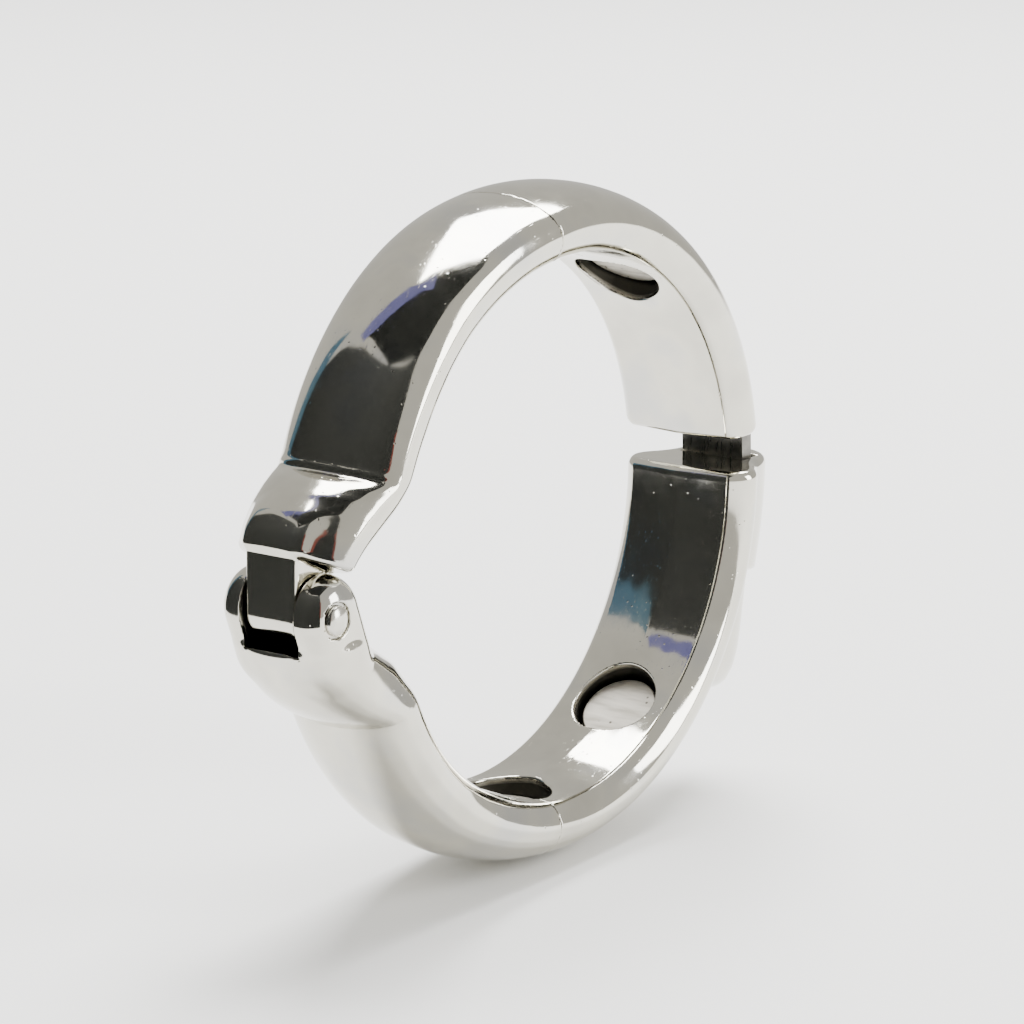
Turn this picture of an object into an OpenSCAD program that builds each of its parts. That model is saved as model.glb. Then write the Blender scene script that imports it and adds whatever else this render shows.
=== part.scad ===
// Hinged chrome ring lined with disc magnets.
// Two cast half rings swing on a riveted hinge pin at the left.
// A toothed tongue on the upper half enters a latch housing on the lower half,
// where a sprung thumb lever holds it.
// Millimetres. The ring stands upright like a wheel: its axis runs along Y,
// X points to the latch, Z points up, and the origin is the centre of the bore.

/* [Ring] */
// Radius of the round opening
bore_radius = 20; // [16:0.5:26]
// Wall thickness measured outward from the opening
ring_thickness = 5.1; // [4.5:0.1:6.5]
// Width of the ring along its axis
ring_width = 11.4; // [10.5:0.1:13]
// Width of the flat land inside the ring
land_width = 8; // [7.6:0.1:9]
// How far the rounded inner edge reaches outward
edge_blend = 2.3; // [2:0.1:2.8]

/* [Seams] */
// Angle of the butt joint between two castings, above and below
seam_angle = 99; // [96:1:104]
// Angle each casting's tenon reaches past the joint
tenon_reach = 8; // [5:1:10]
// Thickness of the tenon
tenon_thickness = 1.1; // [0.9:0.1:1.3]
// Width of the tenon
tenon_width = 5; // [4:0.5:6]

/* [Magnets] */
// Diameter of a disc magnet
magnet_diameter = 6; // [5:0.5:6.5]
// Thickness of a disc magnet
magnet_thickness = 1.2; // [1:0.1:1.3]
// Gap between a magnet's rim and the wall of its recess
magnet_gap = 0.15; // [0.05:0.05:0.3]
// Depth of a magnet's face below the bore
magnet_sink = 1.3; // [1:0.1:1.4]
// Angle of the magnets nearer the latch
front_magnet_angle = 55; // [50:1:62]
// Angle of the magnets at the joints
seam_magnet_angle = 97; // [94:1:100]

/* [Hinge] */
// Distance of the hinge pin from the centre of the bore
hinge_radius = 28; // [27.5:0.1:29]
// Angle of the hinge pin around the ring
hinge_angle = 181.4; // [180:0.2:183]
// Diameter of the hinge pin
hinge_pin_diameter = 1.6; // [1.4:0.1:1.8]
// Diameter of the pin's domed heads
rivet_head_diameter = 2.1; // [2:0.1:2.4]
// Height of a domed head above the ear
rivet_head_rise = 0.3; // [0.2:0.05:0.5]
// Radius of the round ears of the fork
ear_radius = 2.8; // [2.6:0.1:3]
// Width over both ears
fork_width = 9.2; // [8.6:0.2:9.8]
// Radius of the knuckle between the ears
knuckle_radius = 2.1; // [1.9:0.1:2.3]
// Width of the knuckle
knuckle_width = 4.4; // [4:0.1:4.8]
// Gap on each side of the knuckle
knuckle_side_gap = 0.15; // [0.1:0.05:0.25]
// Radius of the round slot floor under the knuckle
slot_floor_radius = 3.05; // [2.9:0.05:3.2]
// Distance from the pin to the flat underside of the shoulders
shoulder_distance = 3.35; // [3.2:0.05:3.6]
// Direction of that underside, seen from the pin
shoulder_tilt = 64.4; // [60:1:70]

/* [Clasp] */
// Angle of the end face of the lower half
lower_end_angle = 0.75; // [0:0.25:1.5]
// Angle of the end face of the upper half
upper_end_angle = 8; // [7.5:0.25:9]
// Width of the toothed tongue
tongue_width = 5.6; // [5:0.2:5.8]
// Thickness of the toothed tongue
tongue_thickness = 1.7; // [1.5:0.1:1.8]
// Gap around the tongue in its slot
tongue_gap = 0.15; // [0.1:0.05:0.25]
// Spacing of the teeth, in degrees about the hinge pin
tooth_pitch = 0.8; // [0.7:0.05:0.9]
// Number of teeth
tooth_count = 7; // [5:1:8]
// Depth of a tooth
tooth_depth = 0.3; // [0.2:0.05:0.35]

/* [Latch] */
// Distance of the lever pin from the centre of the bore
lever_pin_radius = 23.9; // [23.5:0.1:24.2]
// Angle of the lever pin around the ring
lever_pin_angle = -14; // [-15:0.5:-13]
// Diameter of the lever pin
lever_pin_diameter = 1.6; // [1.4:0.1:1.7]
// Length of the lever pin
lever_pin_length = 8; // [7.5:0.5:9]
// Distance of the housing roof from the hinge pin
housing_reach = 57; // [56.8:0.1:57.5]
// Width of the latch housing
housing_width = 8.6; // [8:0.2:9]
// Angle where the housing ends and the thumb pad begins
housing_end_angle = -18.8; // [-19.5:0.1:-18]
// Angle of the far end of the pocket under the thumb pad
pocket_end_angle = -41.2; // [-42:0.2:-40.6]
// Width of the thumb pad
pad_width = 7.2; // [6.5:0.1:7.4]
// Height of the thumb pad's top above the centre of the bore
pad_top_radius = 30.6; // [30:0.1:31]
// Width of the lever inside the housing
lever_core_width = 4.8; // [4:0.2:5]
// Width of the pawl arm that lies over the tongue
pawl_width = 3.4; // [3:0.2:3.6]

/* [Hidden] */
mid_radius = bore_radius + edge_blend;
outer_radius = bore_radius + ring_thickness;
half_width = ring_width / 2;
half_land = land_width / 2;
round_out = outer_radius - mid_radius;
knock = bore_radius - 20;
hinge_distance = hinge_radius + knock;
hinge_x = hinge_distance * cos(hinge_angle);
hinge_y = hinge_distance * sin(hinge_angle);
lever_x = (lever_pin_radius + knock) * cos(lever_pin_angle);
lever_y = (lever_pin_radius + knock) * sin(lever_pin_angle);
round_fn = 48;
running_gap = 0.05;
press_gap = 0.005;
tenon_gap = 0.03;
// Hinge side section: a little narrower and rounder than at the joints
upper_sweep_start = 156;
lower_sweep_start = 208;
slim_mid_shift = 0.4;
// Each sweep starts a hair inside the plain arc that it grows from
inset = 0.015;
slim_half_width = half_width - 0.4;
slim_half_land = half_land - 0.8;
// Upper jog, from the crease to the shoulders
upper_crease = 161;
upper_jog_end = 173;
upper_inner_start = 156;
upper_turn_start = 166;
upper_sweep_end = 171;
shoulder_shift = 0.14;
shoulder_middle = [hinge_x + shoulder_distance * cos(shoulder_tilt) - shoulder_shift * sin(shoulder_tilt),
  hinge_y + shoulder_distance * sin(shoulder_tilt) + shoulder_shift * cos(shoulder_tilt)];
jog_rise = 4.3;
jog_inner_rise = 4.8;
shoulder_half_width = fork_width / 2;
shoulder_half_land = 1.5;
// Lower jog, measured downward from the same side
lower_crease = 203;
lower_jog_end = 184;
lower_inner_start = 201;
lower_inner_end = 182;
lower_sweep_end = 184;
lower_rise = 4.1;
lower_inner_rise = 4.7;
ear_outer_rise = 0.8;
// Magnets
recess_radius = magnet_diameter / 2 + magnet_gap;
recess_floor = bore_radius + magnet_sink + magnet_thickness;
tenon_inner = recess_floor + 0.55;
tenon_outer = tenon_inner + tenon_thickness;
// Rivet
pin_bore_radius = hinge_pin_diameter / 2 + running_gap;
rivet_seat_radius = rivet_head_diameter / 2 + 0.2;
rivet_seat_depth = 0.25;
rivet_edge = 0.1;
// Tongue: an arc about the hinge pin, so that it slides as the ring closes
tongue_inner = 53.05 + 2 * knock;
tongue_outer = tongue_inner + tongue_thickness;
tongue_tip_angle = -3.4;
tongue_root_angle = 6;
tongue_bevel = 0.4;
tang_inner = bore_radius + 4.5;
tang_outer = tang_inner + 1.1;
tang_half_width = 2;
tang_reach = 7;
boss_half_width = 3.9;
boss_top = bore_radius + 7.7;
boss_span = 22;
boss_fade_radius = 25.72 + knock;
boss_fade_x = 3.914;
boss_fade_y = -6.798;
tooth_start = -3.0;
// Housing and lever
dome_power = 2.5;
housing_top = bore_radius + 9.5;
roof_inner = bore_radius + 8.6;
roof_step = 0.1;
slot_low_angle = -14.2;
slot_low = -6.7;
slot_high = 2.2;
pawl_under = tongue_outer + 0.45;
pawl_over = pawl_under + 0.6;
pawl_tip_radius = tongue_outer + 0.1;
pawl_top_angle = -0.95;
pawl_low_angle = -8.2;
pawl_roof = pawl_over + 0.45;
pawl_limit = bore_radius + 8.15;
arm_gap = 0.3;
core_gap = 0.2;
web_high_angle = -16.4;
web_low_angle = -20.6;
web_inner = bore_radius + 2.65;
web_outer = bore_radius + 7.9;
cavity_floor = bore_radius + 2.1;
pocket_floor = bore_radius + 2.9;
pocket_start_angle = housing_end_angle - 0.4;
pad_gap = 0.15;
pad_floor = bore_radius + 4.3;
pad_edge_radius = bore_radius + 4.3;
pad_start_angle = -20.4;
pad_end_angle = -40.1;
lever_boss_radius = 1.3;
lever_hole_radius = lever_pin_diameter / 2 + running_gap;
spring_thickness = 0.25;
spring_half_width = 1.4;
spring_low_angle = -38.6;
spring_high_angle = -24;
spring_steps = 18;
far = 200;

// ---------- helpers ----------
function ease(t) = let(u = max(0, min(1, t))) u * u * (3 - 2 * u);
function span(a, b, x) = max(0, min(1, (x - a) / (b - a)));
function polar(r, a) = [r * cos(a), r * sin(a)];
function about_hinge(r, a) = [hinge_x + r * cos(a), hinge_y + r * sin(a)];

// Outline of a ring section: quarter ellipse inside, half ellipse outside, flat land between
function ring_section(mid, inner, outer, half, land, n_in, n_out) = concat(
  [for (i = [0:n_in]) [mid - inner * cos(90 * i / n_in), land + (half - land) * sin(90 * i / n_in)]],
  [for (i = [1:n_out - 1]) [mid + outer * sin(180 * i / n_out), half * cos(180 * i / n_out)]],
  [for (i = [n_in:-1:0]) [mid - inner * cos(90 * i / n_in), -land - (half - land) * sin(90 * i / n_in)]]);

// Section of the plain arcs
function plain_section() = ring_section(mid_radius, edge_blend, round_out, half_width, half_land, 6, 18);

// Boxy dome used for the bumps
function dome_section(base, top, half) = concat(
  [[base - 1, half]],
  [for (i = [0:16]) let(a = 11.25 * i, s = sin(a), c = cos(a))
    [base + (top - base) * pow(max(s, 0), 2 / dome_power), half * sign(c) * pow(abs(c), 2 / dome_power)]],
  [[base - 1, -half]]);

module upright() {
  rotate([90, 0, 0]) children();
}

module sector(a, b) {
  rotate([0, 0, a]) rotate_extrude(angle = b - a, $fn = 120) children();
}

module band(r1, r2, a, b, half) {
  sector(a, b) translate([r1, -half]) square([r2 - r1, 2 * half]);
}

module hinge_band(r1, r2, a, b, half) {
  translate([hinge_x, hinge_y, 0]) band(r1, r2, a, b, half);
}

module drum(x, y, r, half) {
  translate([x, y, -half]) cylinder(h = 2 * half, r = r, $fn = round_fn);
}

module slab(outline, half) {
  translate([0, 0, -half]) linear_extrude(height = 2 * half) polygon(outline);
}

module recess(a) {
  rotate([0, 0, a]) translate([bore_radius - 3, 0, 0]) rotate([0, 90, 0])
    cylinder(h = recess_floor - bore_radius + 3, r = recess_radius, $fn = round_fn);
}

module magnet(a) {
  rotate([0, 0, a]) translate([bore_radius + magnet_sink, 0, 0]) rotate([0, 90, 0])
    cylinder(h = magnet_thickness, r = magnet_diameter / 2, $fn = round_fn);
}

module tenon(a, b, grow) {
  band(tenon_inner - grow, tenon_outer + grow, a, b, tenon_width / 2 + grow);
}

// ---------- swept hinge arcs ----------
function sweep_rings(stations, sections) = [for (k = [0:len(stations) - 1]) for (p = sections[k])
  [p[0] * cos(stations[k]), p[0] * sin(stations[k]), p[1]]];

// The same, with the sections turned until the last one lies in the shoulders' flat underside
function turned(a) = ease(span(upper_turn_start, upper_sweep_end, a));
function turned_mid(a) = let(u = turned(a)) polar(upper_mid(a), a) * (1 - u) + shoulder_middle * u;
function turned_ring(a) = let(m = turned_mid(a), d = a + (shoulder_tilt + 90 - a) * turned(a))
  [for (p = upper_section(a)) [m[0] + (p[0] - upper_mid(a)) * cos(d), m[1] + (p[0] - upper_mid(a)) * sin(d), p[1]]];

function sweep_faces(rings, n) = concat(
  [[for (i = [0:n - 1]) i]],
  [for (k = [0:rings - 2]) for (i = [0:n - 1]) let(j = (i + 1) % n) [k * n + i, (k + 1) * n + i, k * n + j]],
  [for (k = [0:rings - 2]) for (i = [0:n - 1]) let(j = (i + 1) % n)
    [(k + 1) * n + i, (k + 1) * n + j, k * n + j]],
  [[for (i = [n - 1:-1:0]) (rings - 1) * n + i]]);

upper_stations = concat([upper_sweep_start - 1, upper_sweep_start, 158.5, upper_crease],
  [for (i = [1:10]) upper_crease + (upper_sweep_end - upper_crease) * i / 10]);
lower_stations = concat([lower_sweep_start + 1, lower_sweep_start, 205],
  [for (i = [0:12]) lower_crease + (lower_sweep_end - lower_crease) * i / 12]);

function upper_slim(a) = ease(span(upper_sweep_start, upper_crease + 4, a));
function upper_jog(a) = let(y = span(upper_crease, upper_jog_end, a)) y + 0.07 * sin(180 * y);
function upper_mid(a) = mid_radius + slim_mid_shift * upper_slim(a) + jog_rise * upper_jog(a);
function upper_in(a) = bore_radius + jog_inner_rise * pow(span(upper_inner_start, upper_jog_end, a), 2.4);
function upper_section(a) = let(v = upper_slim(a), w = upper_jog(a), g = a > upper_sweep_start + 1 ? 0 : inset)
  ring_section(upper_mid(a), upper_mid(a) - upper_in(a) - g, round_out + 0.3 * w - g,
  half_width + (slim_half_width - half_width) * v + (shoulder_half_width - slim_half_width) * w - g,
  half_land + (slim_half_land - half_land) * v + (shoulder_half_land - slim_half_land) * w - g, 6, 18);

function lower_slim(a) = ease(span(lower_sweep_start, lower_crease - 6, a));
function lower_jog(a) = sin(90 * span(lower_crease, lower_jog_end, a));
function lower_mid(a) = mid_radius + slim_mid_shift * lower_slim(a) + lower_rise * lower_jog(a);
function lower_in(a) = bore_radius
  + lower_inner_rise * ease(pow(span(lower_inner_start, lower_inner_end, a), 1.25));
function lower_section(a) = let(v = lower_slim(a), w = lower_jog(a), g = a < lower_sweep_start - 1 ? 0 : inset)
  ring_section(lower_mid(a), lower_mid(a) - lower_in(a) - g, round_out + ear_outer_rise * w - g,
  half_width + (slim_half_width - half_width) * v + (shoulder_half_width - slim_half_width) * w - g,
  half_land + (slim_half_land - half_land) * v + (shoulder_half_land - slim_half_land) * w - g, 6, 18);

module upper_sweep() {
  rings = [for (a = upper_stations) turned_ring(a)];
  polyhedron(points = [for (ring = rings) for (p = ring) p],
    faces = sweep_faces(len(rings), len(rings[0])), convexity = 8);
}

module lower_sweep() {
  sections = [for (a = lower_stations) [for (p = lower_section(a)) [p[0], -p[1]]]];
  polyhedron(points = sweep_rings(lower_stations, sections),
    faces = sweep_faces(len(lower_stations), len(sections[0])), convexity = 8);
}

module knuckle() {
  half = knuckle_width / 2;
  side = knuckle_radius - 0.02;
  drum(hinge_x, hinge_y, knuckle_radius, half);
  slab([[hinge_x - side, hinge_y], [hinge_x + side, hinge_y], [hinge_x + side + 0.4, hinge_y + 4.9],
    [hinge_x + 0.7, hinge_y + 5.5], [hinge_x - side + 0.75, hinge_y + 4.3]], half);
}

module ears() {
  half = fork_width / 2;
  drum(hinge_x, hinge_y, ear_radius, half);
  slab([[hinge_x - ear_radius, hinge_y], [hinge_x + ear_radius, hinge_y],
    polar(lower_in(184.6), 184.6), polar(lower_in(187) + 0.2, 187), polar(bore_radius + 8, 189),
    [hinge_x - ear_radius + 0.35, hinge_y - 2.3]], half);
}

module rivet_seats() {
  for (side = [-1, 1])
    translate([hinge_x, hinge_y, side * (fork_width / 2)])
      cylinder(h = 2 * rivet_seat_depth, r = rivet_seat_radius, center = true, $fn = round_fn);
}

// ---------- clasp ----------
module boss() {
  intersection() {
    sector(upper_end_angle, upper_end_angle + boss_span)
      polygon(dome_section(mid_radius, boss_top + 0.2, boss_half_width));
    drum(boss_fade_x, boss_fade_y, boss_fade_radius, far / 2);
  }
}

module tang(grow) {
  band(tang_inner - grow, tang_outer + grow, upper_end_angle - 1, upper_end_angle + tang_reach + grow,
    tang_half_width + grow);
}

module tongue_bar() {
  difference() {
    translate([hinge_x, hinge_y, 0]) sector(tongue_tip_angle, tongue_root_angle)
      polygon([[tongue_inner, -tongue_width / 2], [tongue_outer - tongue_bevel, -tongue_width / 2],
        [tongue_outer, tongue_bevel - tongue_width / 2], [tongue_outer, tongue_width / 2 - tongue_bevel],
        [tongue_outer - tongue_bevel, tongue_width / 2], [tongue_inner, tongue_width / 2]]);
    slab([polar(10, upper_end_angle - 0.02), polar(60, upper_end_angle - 0.02), polar(60, 40), polar(10, 40)], 20);
    for (i = [0:tooth_count - 1]) tooth_notch(tooth_start + i * tooth_pitch);
  }
}

// Ramp on the side towards the tip, steep on the side towards the root
module tooth_notch(a) {
  slab([about_hinge(tongue_outer + 0.2, a - 0.08), about_hinge(tongue_outer, a),
    about_hinge(tongue_outer - tooth_depth, a + 0.8 * tooth_pitch),
    about_hinge(tongue_outer, a + 0.88 * tooth_pitch),
    about_hinge(tongue_outer + 0.2, a + 0.9 * tooth_pitch)], 20);
}

module housing_bump() {
  intersection() {
    sector(housing_end_angle, lower_end_angle)
      polygon(dome_section(mid_radius, housing_top, housing_width / 2));
    drum(hinge_x, hinge_y, housing_reach + 2 * knock, far / 2);
  }
}

module tongue_slot() {
  slab(concat([for (i = [0:8]) about_hinge(tongue_inner - tongue_gap, slot_low + (slot_high - slot_low) * i / 8)],
    [for (i = [8:-1:0]) about_hinge(tongue_outer + tongue_gap, slot_low + (slot_high - slot_low) * i / 8)]),
    tongue_width / 2 + tongue_gap);
}

module pawl_cavity() {
  intersection() {
    hinge_band(tongue_outer - 0.2, pawl_roof, -9.5, pawl_top_angle + 0.75, pawl_width / 2 + arm_gap);
    band(bore_radius + 4, roof_inner + roof_step, -22, 10, 10);
  }
}

module core_cavity() {
  half = lever_core_width / 2 + core_gap;
  band(cavity_floor, roof_inner, pad_start_angle - 1, slot_low_angle, half);
  band(cavity_floor, bore_radius + 5.3, slot_low_angle, lever_pin_angle + 4, half);
}

module pad_pocket() {
  band(pocket_floor, bore_radius + 15, pocket_end_angle, pocket_start_angle, pad_width / 2 + pad_gap);
}

// ---------- pieces ----------
module upper_hinge_arc() {
  color([0.72, 0.72, 0.68]) upright() difference() {
    union() {
      sector(seam_angle, upper_sweep_start) polygon(plain_section());
      upper_sweep();
      knuckle();
      tenon(seam_angle - tenon_reach, seam_angle + 2, 0);
    }
    recess(seam_magnet_angle);
    drum(hinge_x, hinge_y, pin_bore_radius, 10);
  }
}

module lower_hinge_arc() {
  color([0.70, 0.70, 0.66]) upright() difference() {
    union() {
      sector(lower_sweep_start, 360 - seam_angle) polygon(plain_section());
      lower_sweep();
      ears();
      tenon(-seam_angle - 2, -seam_angle + tenon_reach, 0);
    }
    recess(-seam_magnet_angle);
    drum(hinge_x, hinge_y, slot_floor_radius, knuckle_width / 2 + knuckle_side_gap);
    drum(hinge_x, hinge_y, hinge_pin_diameter / 2 + press_gap, 10);
    rivet_seats();
  }
}

module upper_latch_arc() {
  color([0.74, 0.74, 0.70]) upright() difference() {
    union() {
      sector(upper_end_angle, seam_angle) polygon(plain_section());
      boss();
    }
    recess(front_magnet_angle);
    recess(seam_magnet_angle);
    tenon(seam_angle - tenon_reach - 0.3, seam_angle + 2, tenon_gap);
    tang(tenon_gap);
  }
}

module lower_latch_arc() {
  color([0.71, 0.71, 0.67]) upright() difference() {
    union() {
      sector(-seam_angle, lower_end_angle) polygon(plain_section());
      housing_bump();
    }
    recess(-front_magnet_angle);
    recess(-seam_magnet_angle);
    tenon(-seam_angle - 2, -seam_angle + tenon_reach + 0.3, tenon_gap);
    tongue_slot();
    pawl_cavity();
    core_cavity();
    pad_pocket();
    drum(lever_x, lever_y, lever_pin_diameter / 2 + press_gap, 10);
  }
}

module hinge_pin() {
  reach = fork_width / 2 - rivet_seat_depth;
  top = fork_width / 2 + rivet_head_rise;
  head = rivet_head_diameter / 2;
  color([0.78, 0.78, 0.76]) upright() translate([hinge_x, hinge_y, 0])
    rotate_extrude($fn = round_fn)
      polygon(concat([[0, -top]],
        [for (i = [1:6]) [head * sin(15 * i), -reach - rivet_edge - (top - reach - rivet_edge) * cos(15 * i)]],
        [[head, -reach], [hinge_pin_diameter / 2, -reach], [hinge_pin_diameter / 2, reach], [head, reach]],
        [for (i = [6:-1:1]) [head * sin(15 * i), reach + rivet_edge + (top - reach - rivet_edge) * cos(15 * i)]],
        [[0, top]]));
}

module ratchet_tongue() {
  color([0.45, 0.45, 0.46]) upright() {
    tongue_bar();
    difference() {
      tang(0);
      slab([polar(10, upper_end_angle - 0.3), polar(60, upper_end_angle - 0.3), polar(60, -20), polar(10, -20)], 20);
    }
  }
}

pad_outline = [polar(pad_floor, pad_start_angle), polar(bore_radius + 8, pad_start_angle),
  polar(bore_radius + 8.6, -22), polar(bore_radius + 9.3, -25), polar(bore_radius + 9.9, -28),
  polar(pad_top_radius + knock - 0.2, -31), polar(pad_top_radius + knock, -33.5),
  polar(pad_top_radius + knock - 0.2, -36), polar(bore_radius + 9.6, -38),
  polar(bore_radius + 8.3, -39.3), polar(bore_radius + 6.5, -40), polar(pad_floor, pad_end_angle),
  polar(pad_floor, -35), polar(pad_floor, -30), polar(pad_floor, -25)];

module lever_pad() {
  intersection() {
    slab(pad_outline, pad_width / 2);
    sector(pad_end_angle - 2, pad_start_angle + 2)
      polygon(dome_section(pad_edge_radius, pad_top_radius + knock + 0.15, pad_width / 2));
  }
}

module pawl() {
  half = pawl_width / 2;
  intersection() {
    hinge_band(pawl_under, pawl_over, pawl_low_angle, pawl_top_angle, half);
    band(bore_radius + 4, pawl_limit, -20, 10, 10);
  }
  slab([about_hinge(pawl_under + 0.1, pawl_top_angle - 0.01), about_hinge(pawl_tip_radius, pawl_top_angle - 0.04),
    about_hinge(pawl_tip_radius, pawl_top_angle - 0.1),
    about_hinge(pawl_under + 0.1, pawl_top_angle - 0.9)], half);
}

module release_lever() {
  half = lever_core_width / 2;
  color([0.76, 0.76, 0.72]) upright() difference() {
    union() {
      drum(lever_x, lever_y, lever_boss_radius, half);
      band(web_inner, bore_radius + 5.05, web_high_angle, lever_pin_angle, half);
      band(web_inner, web_outer, web_low_angle, web_high_angle, half);
      pawl();
      lever_pad();
    }
    drum(lever_x, lever_y, lever_hole_radius, 10);
  }
}

module lever_pin() {
  color([0.5, 0.5, 0.5]) upright() drum(lever_x, lever_y, lever_pin_diameter / 2, lever_pin_length / 2);
}

function spring_height(t) = pocket_floor + 0.03 + (pad_floor - pocket_floor - spring_thickness - 0.1) * pow(sin(180 * t), 2);

module lever_spring() {
  low = [for (i = [0:spring_steps]) let(t = i / spring_steps)
    polar(spring_height(t), spring_low_angle + (spring_high_angle - spring_low_angle) * t)];
  high = [for (i = [spring_steps:-1:0]) let(t = i / spring_steps)
    polar(spring_height(t) + spring_thickness, spring_low_angle + (spring_high_angle - spring_low_angle) * t)];
  color([0.6, 0.6, 0.62]) upright() slab(concat(low, high), spring_half_width);
}

module magnet_upper_front() {
  color([0.8, 0.8, 0.78]) upright() magnet(front_magnet_angle);
}

module magnet_upper_top() {
  color([0.8, 0.8, 0.78]) upright() magnet(seam_magnet_angle);
}

module magnet_lower_front() {
  color([0.8, 0.8, 0.78]) upright() magnet(-front_magnet_angle);
}

module magnet_lower_bottom() {
  color([0.8, 0.8, 0.78]) upright() magnet(-seam_magnet_angle);
}

upper_hinge_arc();
upper_latch_arc();
lower_hinge_arc();
lower_latch_arc();
hinge_pin();
ratchet_tongue();
release_lever();
lever_pin();
lever_spring();
magnet_upper_front();
magnet_upper_top();
magnet_lower_front();
magnet_lower_bottom();
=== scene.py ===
"""Looks of a chrome-plated hinged ring lined with disc magnets.

The castings are skinned from distance fields, as a pattern maker would blend wood and filler: plain walls, bumps and
lugs are joined with fillets, and slots, recesses and bores are cut out of them.
Sizes are millimetres and angles degrees, in the ring's own plane: x to the latch, y up, z to the front.
"""

import itertools
import math

import bmesh
import bpy
import numpy as np
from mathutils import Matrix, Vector


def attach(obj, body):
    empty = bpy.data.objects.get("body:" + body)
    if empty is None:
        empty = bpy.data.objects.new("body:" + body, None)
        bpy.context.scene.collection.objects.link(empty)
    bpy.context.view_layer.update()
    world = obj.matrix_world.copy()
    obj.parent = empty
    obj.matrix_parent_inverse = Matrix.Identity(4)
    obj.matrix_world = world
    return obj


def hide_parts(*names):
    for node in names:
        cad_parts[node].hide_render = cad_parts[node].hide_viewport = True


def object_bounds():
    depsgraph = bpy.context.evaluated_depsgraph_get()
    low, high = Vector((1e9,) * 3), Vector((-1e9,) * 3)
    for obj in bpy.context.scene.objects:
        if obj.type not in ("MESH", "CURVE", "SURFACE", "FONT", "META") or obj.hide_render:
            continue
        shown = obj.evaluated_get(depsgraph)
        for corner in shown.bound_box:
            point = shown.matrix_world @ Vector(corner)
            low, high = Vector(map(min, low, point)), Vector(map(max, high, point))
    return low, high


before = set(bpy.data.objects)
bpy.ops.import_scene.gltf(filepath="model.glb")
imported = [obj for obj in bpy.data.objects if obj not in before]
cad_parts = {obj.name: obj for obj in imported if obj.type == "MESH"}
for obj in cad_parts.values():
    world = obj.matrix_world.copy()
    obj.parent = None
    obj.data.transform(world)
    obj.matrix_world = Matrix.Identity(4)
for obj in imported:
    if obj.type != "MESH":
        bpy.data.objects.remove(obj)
cad_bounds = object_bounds()

MM = 0.001

# ---------- sizes of the ring ----------
BORE = 20.0
WIDEST = 22.3            # radius where the wall is widest
OUTSIDE = 25.1
HALF_WIDTH = 5.7
HALF_LAND = 3.0          # the bore's edge blend starts here, under the draft of the land
DRAFT = 0.08             # the land opens by this much per millimetre either side of the parting line
SEAM = 99.0              # butt joints between castings
UPPER_SEAM_EDGE = 0.07   # broken edges at the upper butt joint
LOWER_SEAM_EDGE = 0.08   # and at the lower one
END_EDGE = 0.7           # rounding of the two end faces at the latch
UPPER_END = 8.0
LOWER_END = 0.75

# disc magnets and their recesses
FRONT_MAGNET = 55.0
SEAM_MAGNET = 97.0
RECESS_RADIUS = 3.3
RECESS_EDGE = 0.15
MAGNET_RADIUS = 3.0
MAGNET_FACE = 21.3
MAGNET_THICKNESS = 1.2
MAGNET_RIM = 0.12

# hinge
HINGE = (28.0 * math.cos(math.radians(181.4)), 28.0 * math.sin(math.radians(181.4)))
SHOULDER_TILT = math.radians(64.4)
SHOULDER_GAP = 3.35      # from the hinge's axis to the shoulder's underside
KNUCKLE_RADIUS = 2.15
KNUCKLE_HALF = 2.2
KNUCKLE_BORE = 0.86
EAR_RADIUS = 2.8
EAR_HALF = 4.6
EAR_BORE = 0.82
FORK_RADIUS = 3.05       # the slot between the ears
FORK_HALF = 2.36
HEAD_SEAT = 1.28         # shallow seats under the rivet's heads
HEAD_SEAT_FLOOR = 4.32
BORE_EDGE = 0.05

# rivet
RIVET_HEAD = 1.05
RIVET_SHANK = 0.8
RIVET_FACE = 4.35
RIVET_RIM = 4.47
RIVET_CROWN = 4.9

# latch
LEVER_PIN = (23.9 * math.cos(math.radians(-14.0)), 23.9 * math.sin(math.radians(-14.0)))
LEVER_BORE = 0.86
HOUSING_PIN_BORE = 0.9
TONGUE_HALF = 2.8
PAD_FLOOR = 24.3         # underside of the thumb pad
PAD_EDGE = 0.3
PAWL_HALF = 1.7

PIN_REACH = 10.0         # half length of a drill that goes right through
GRID = 0.16
LEVER_GRID = min(GRID, 0.12)


# ---------- fillets, cuts and gliding sizes ----------
def fillet_and(a, b, r):
    """What a and b share, with a fillet of radius r along the edge between them."""
    return np.minimum(-r, np.maximum(a, b)) + np.hypot(np.maximum(a + r, 0), np.maximum(b + r, 0))


def fillet_or(a, b, r):
    """a and b together, with a fillet of radius r in the corner between them."""
    return -fillet_and(-a, -b, r)


def cut(body, hole, r):
    """body with a hole, whose mouth is rounded by r."""
    return fillet_and(body, -hole, r)


def glide(angle, stops, blur):
    """A size that changes from stop to stop around the ring, smoothed over blur degrees."""
    places, sizes = zip(*stops)
    total, weight = 0.0, 0.0
    for k in range(-4, 5):
        w = 5 - abs(k)
        total = total + w * np.interp(angle + blur * k / 4, places, sizes)
        weight += w
    return total / weight


def turn_from(x, y, angle):
    """Distance past the plane through the bore's axis at that angle, positive anticlockwise."""
    a = math.radians(angle)
    return math.cos(a) * y - math.sin(a) * x


def ring_angle(x, y, least):
    """Angle round the ring in degrees, counted from least."""
    a = np.degrees(np.arctan2(y, x))
    return np.where(a < least, a + 360, a)


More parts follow.
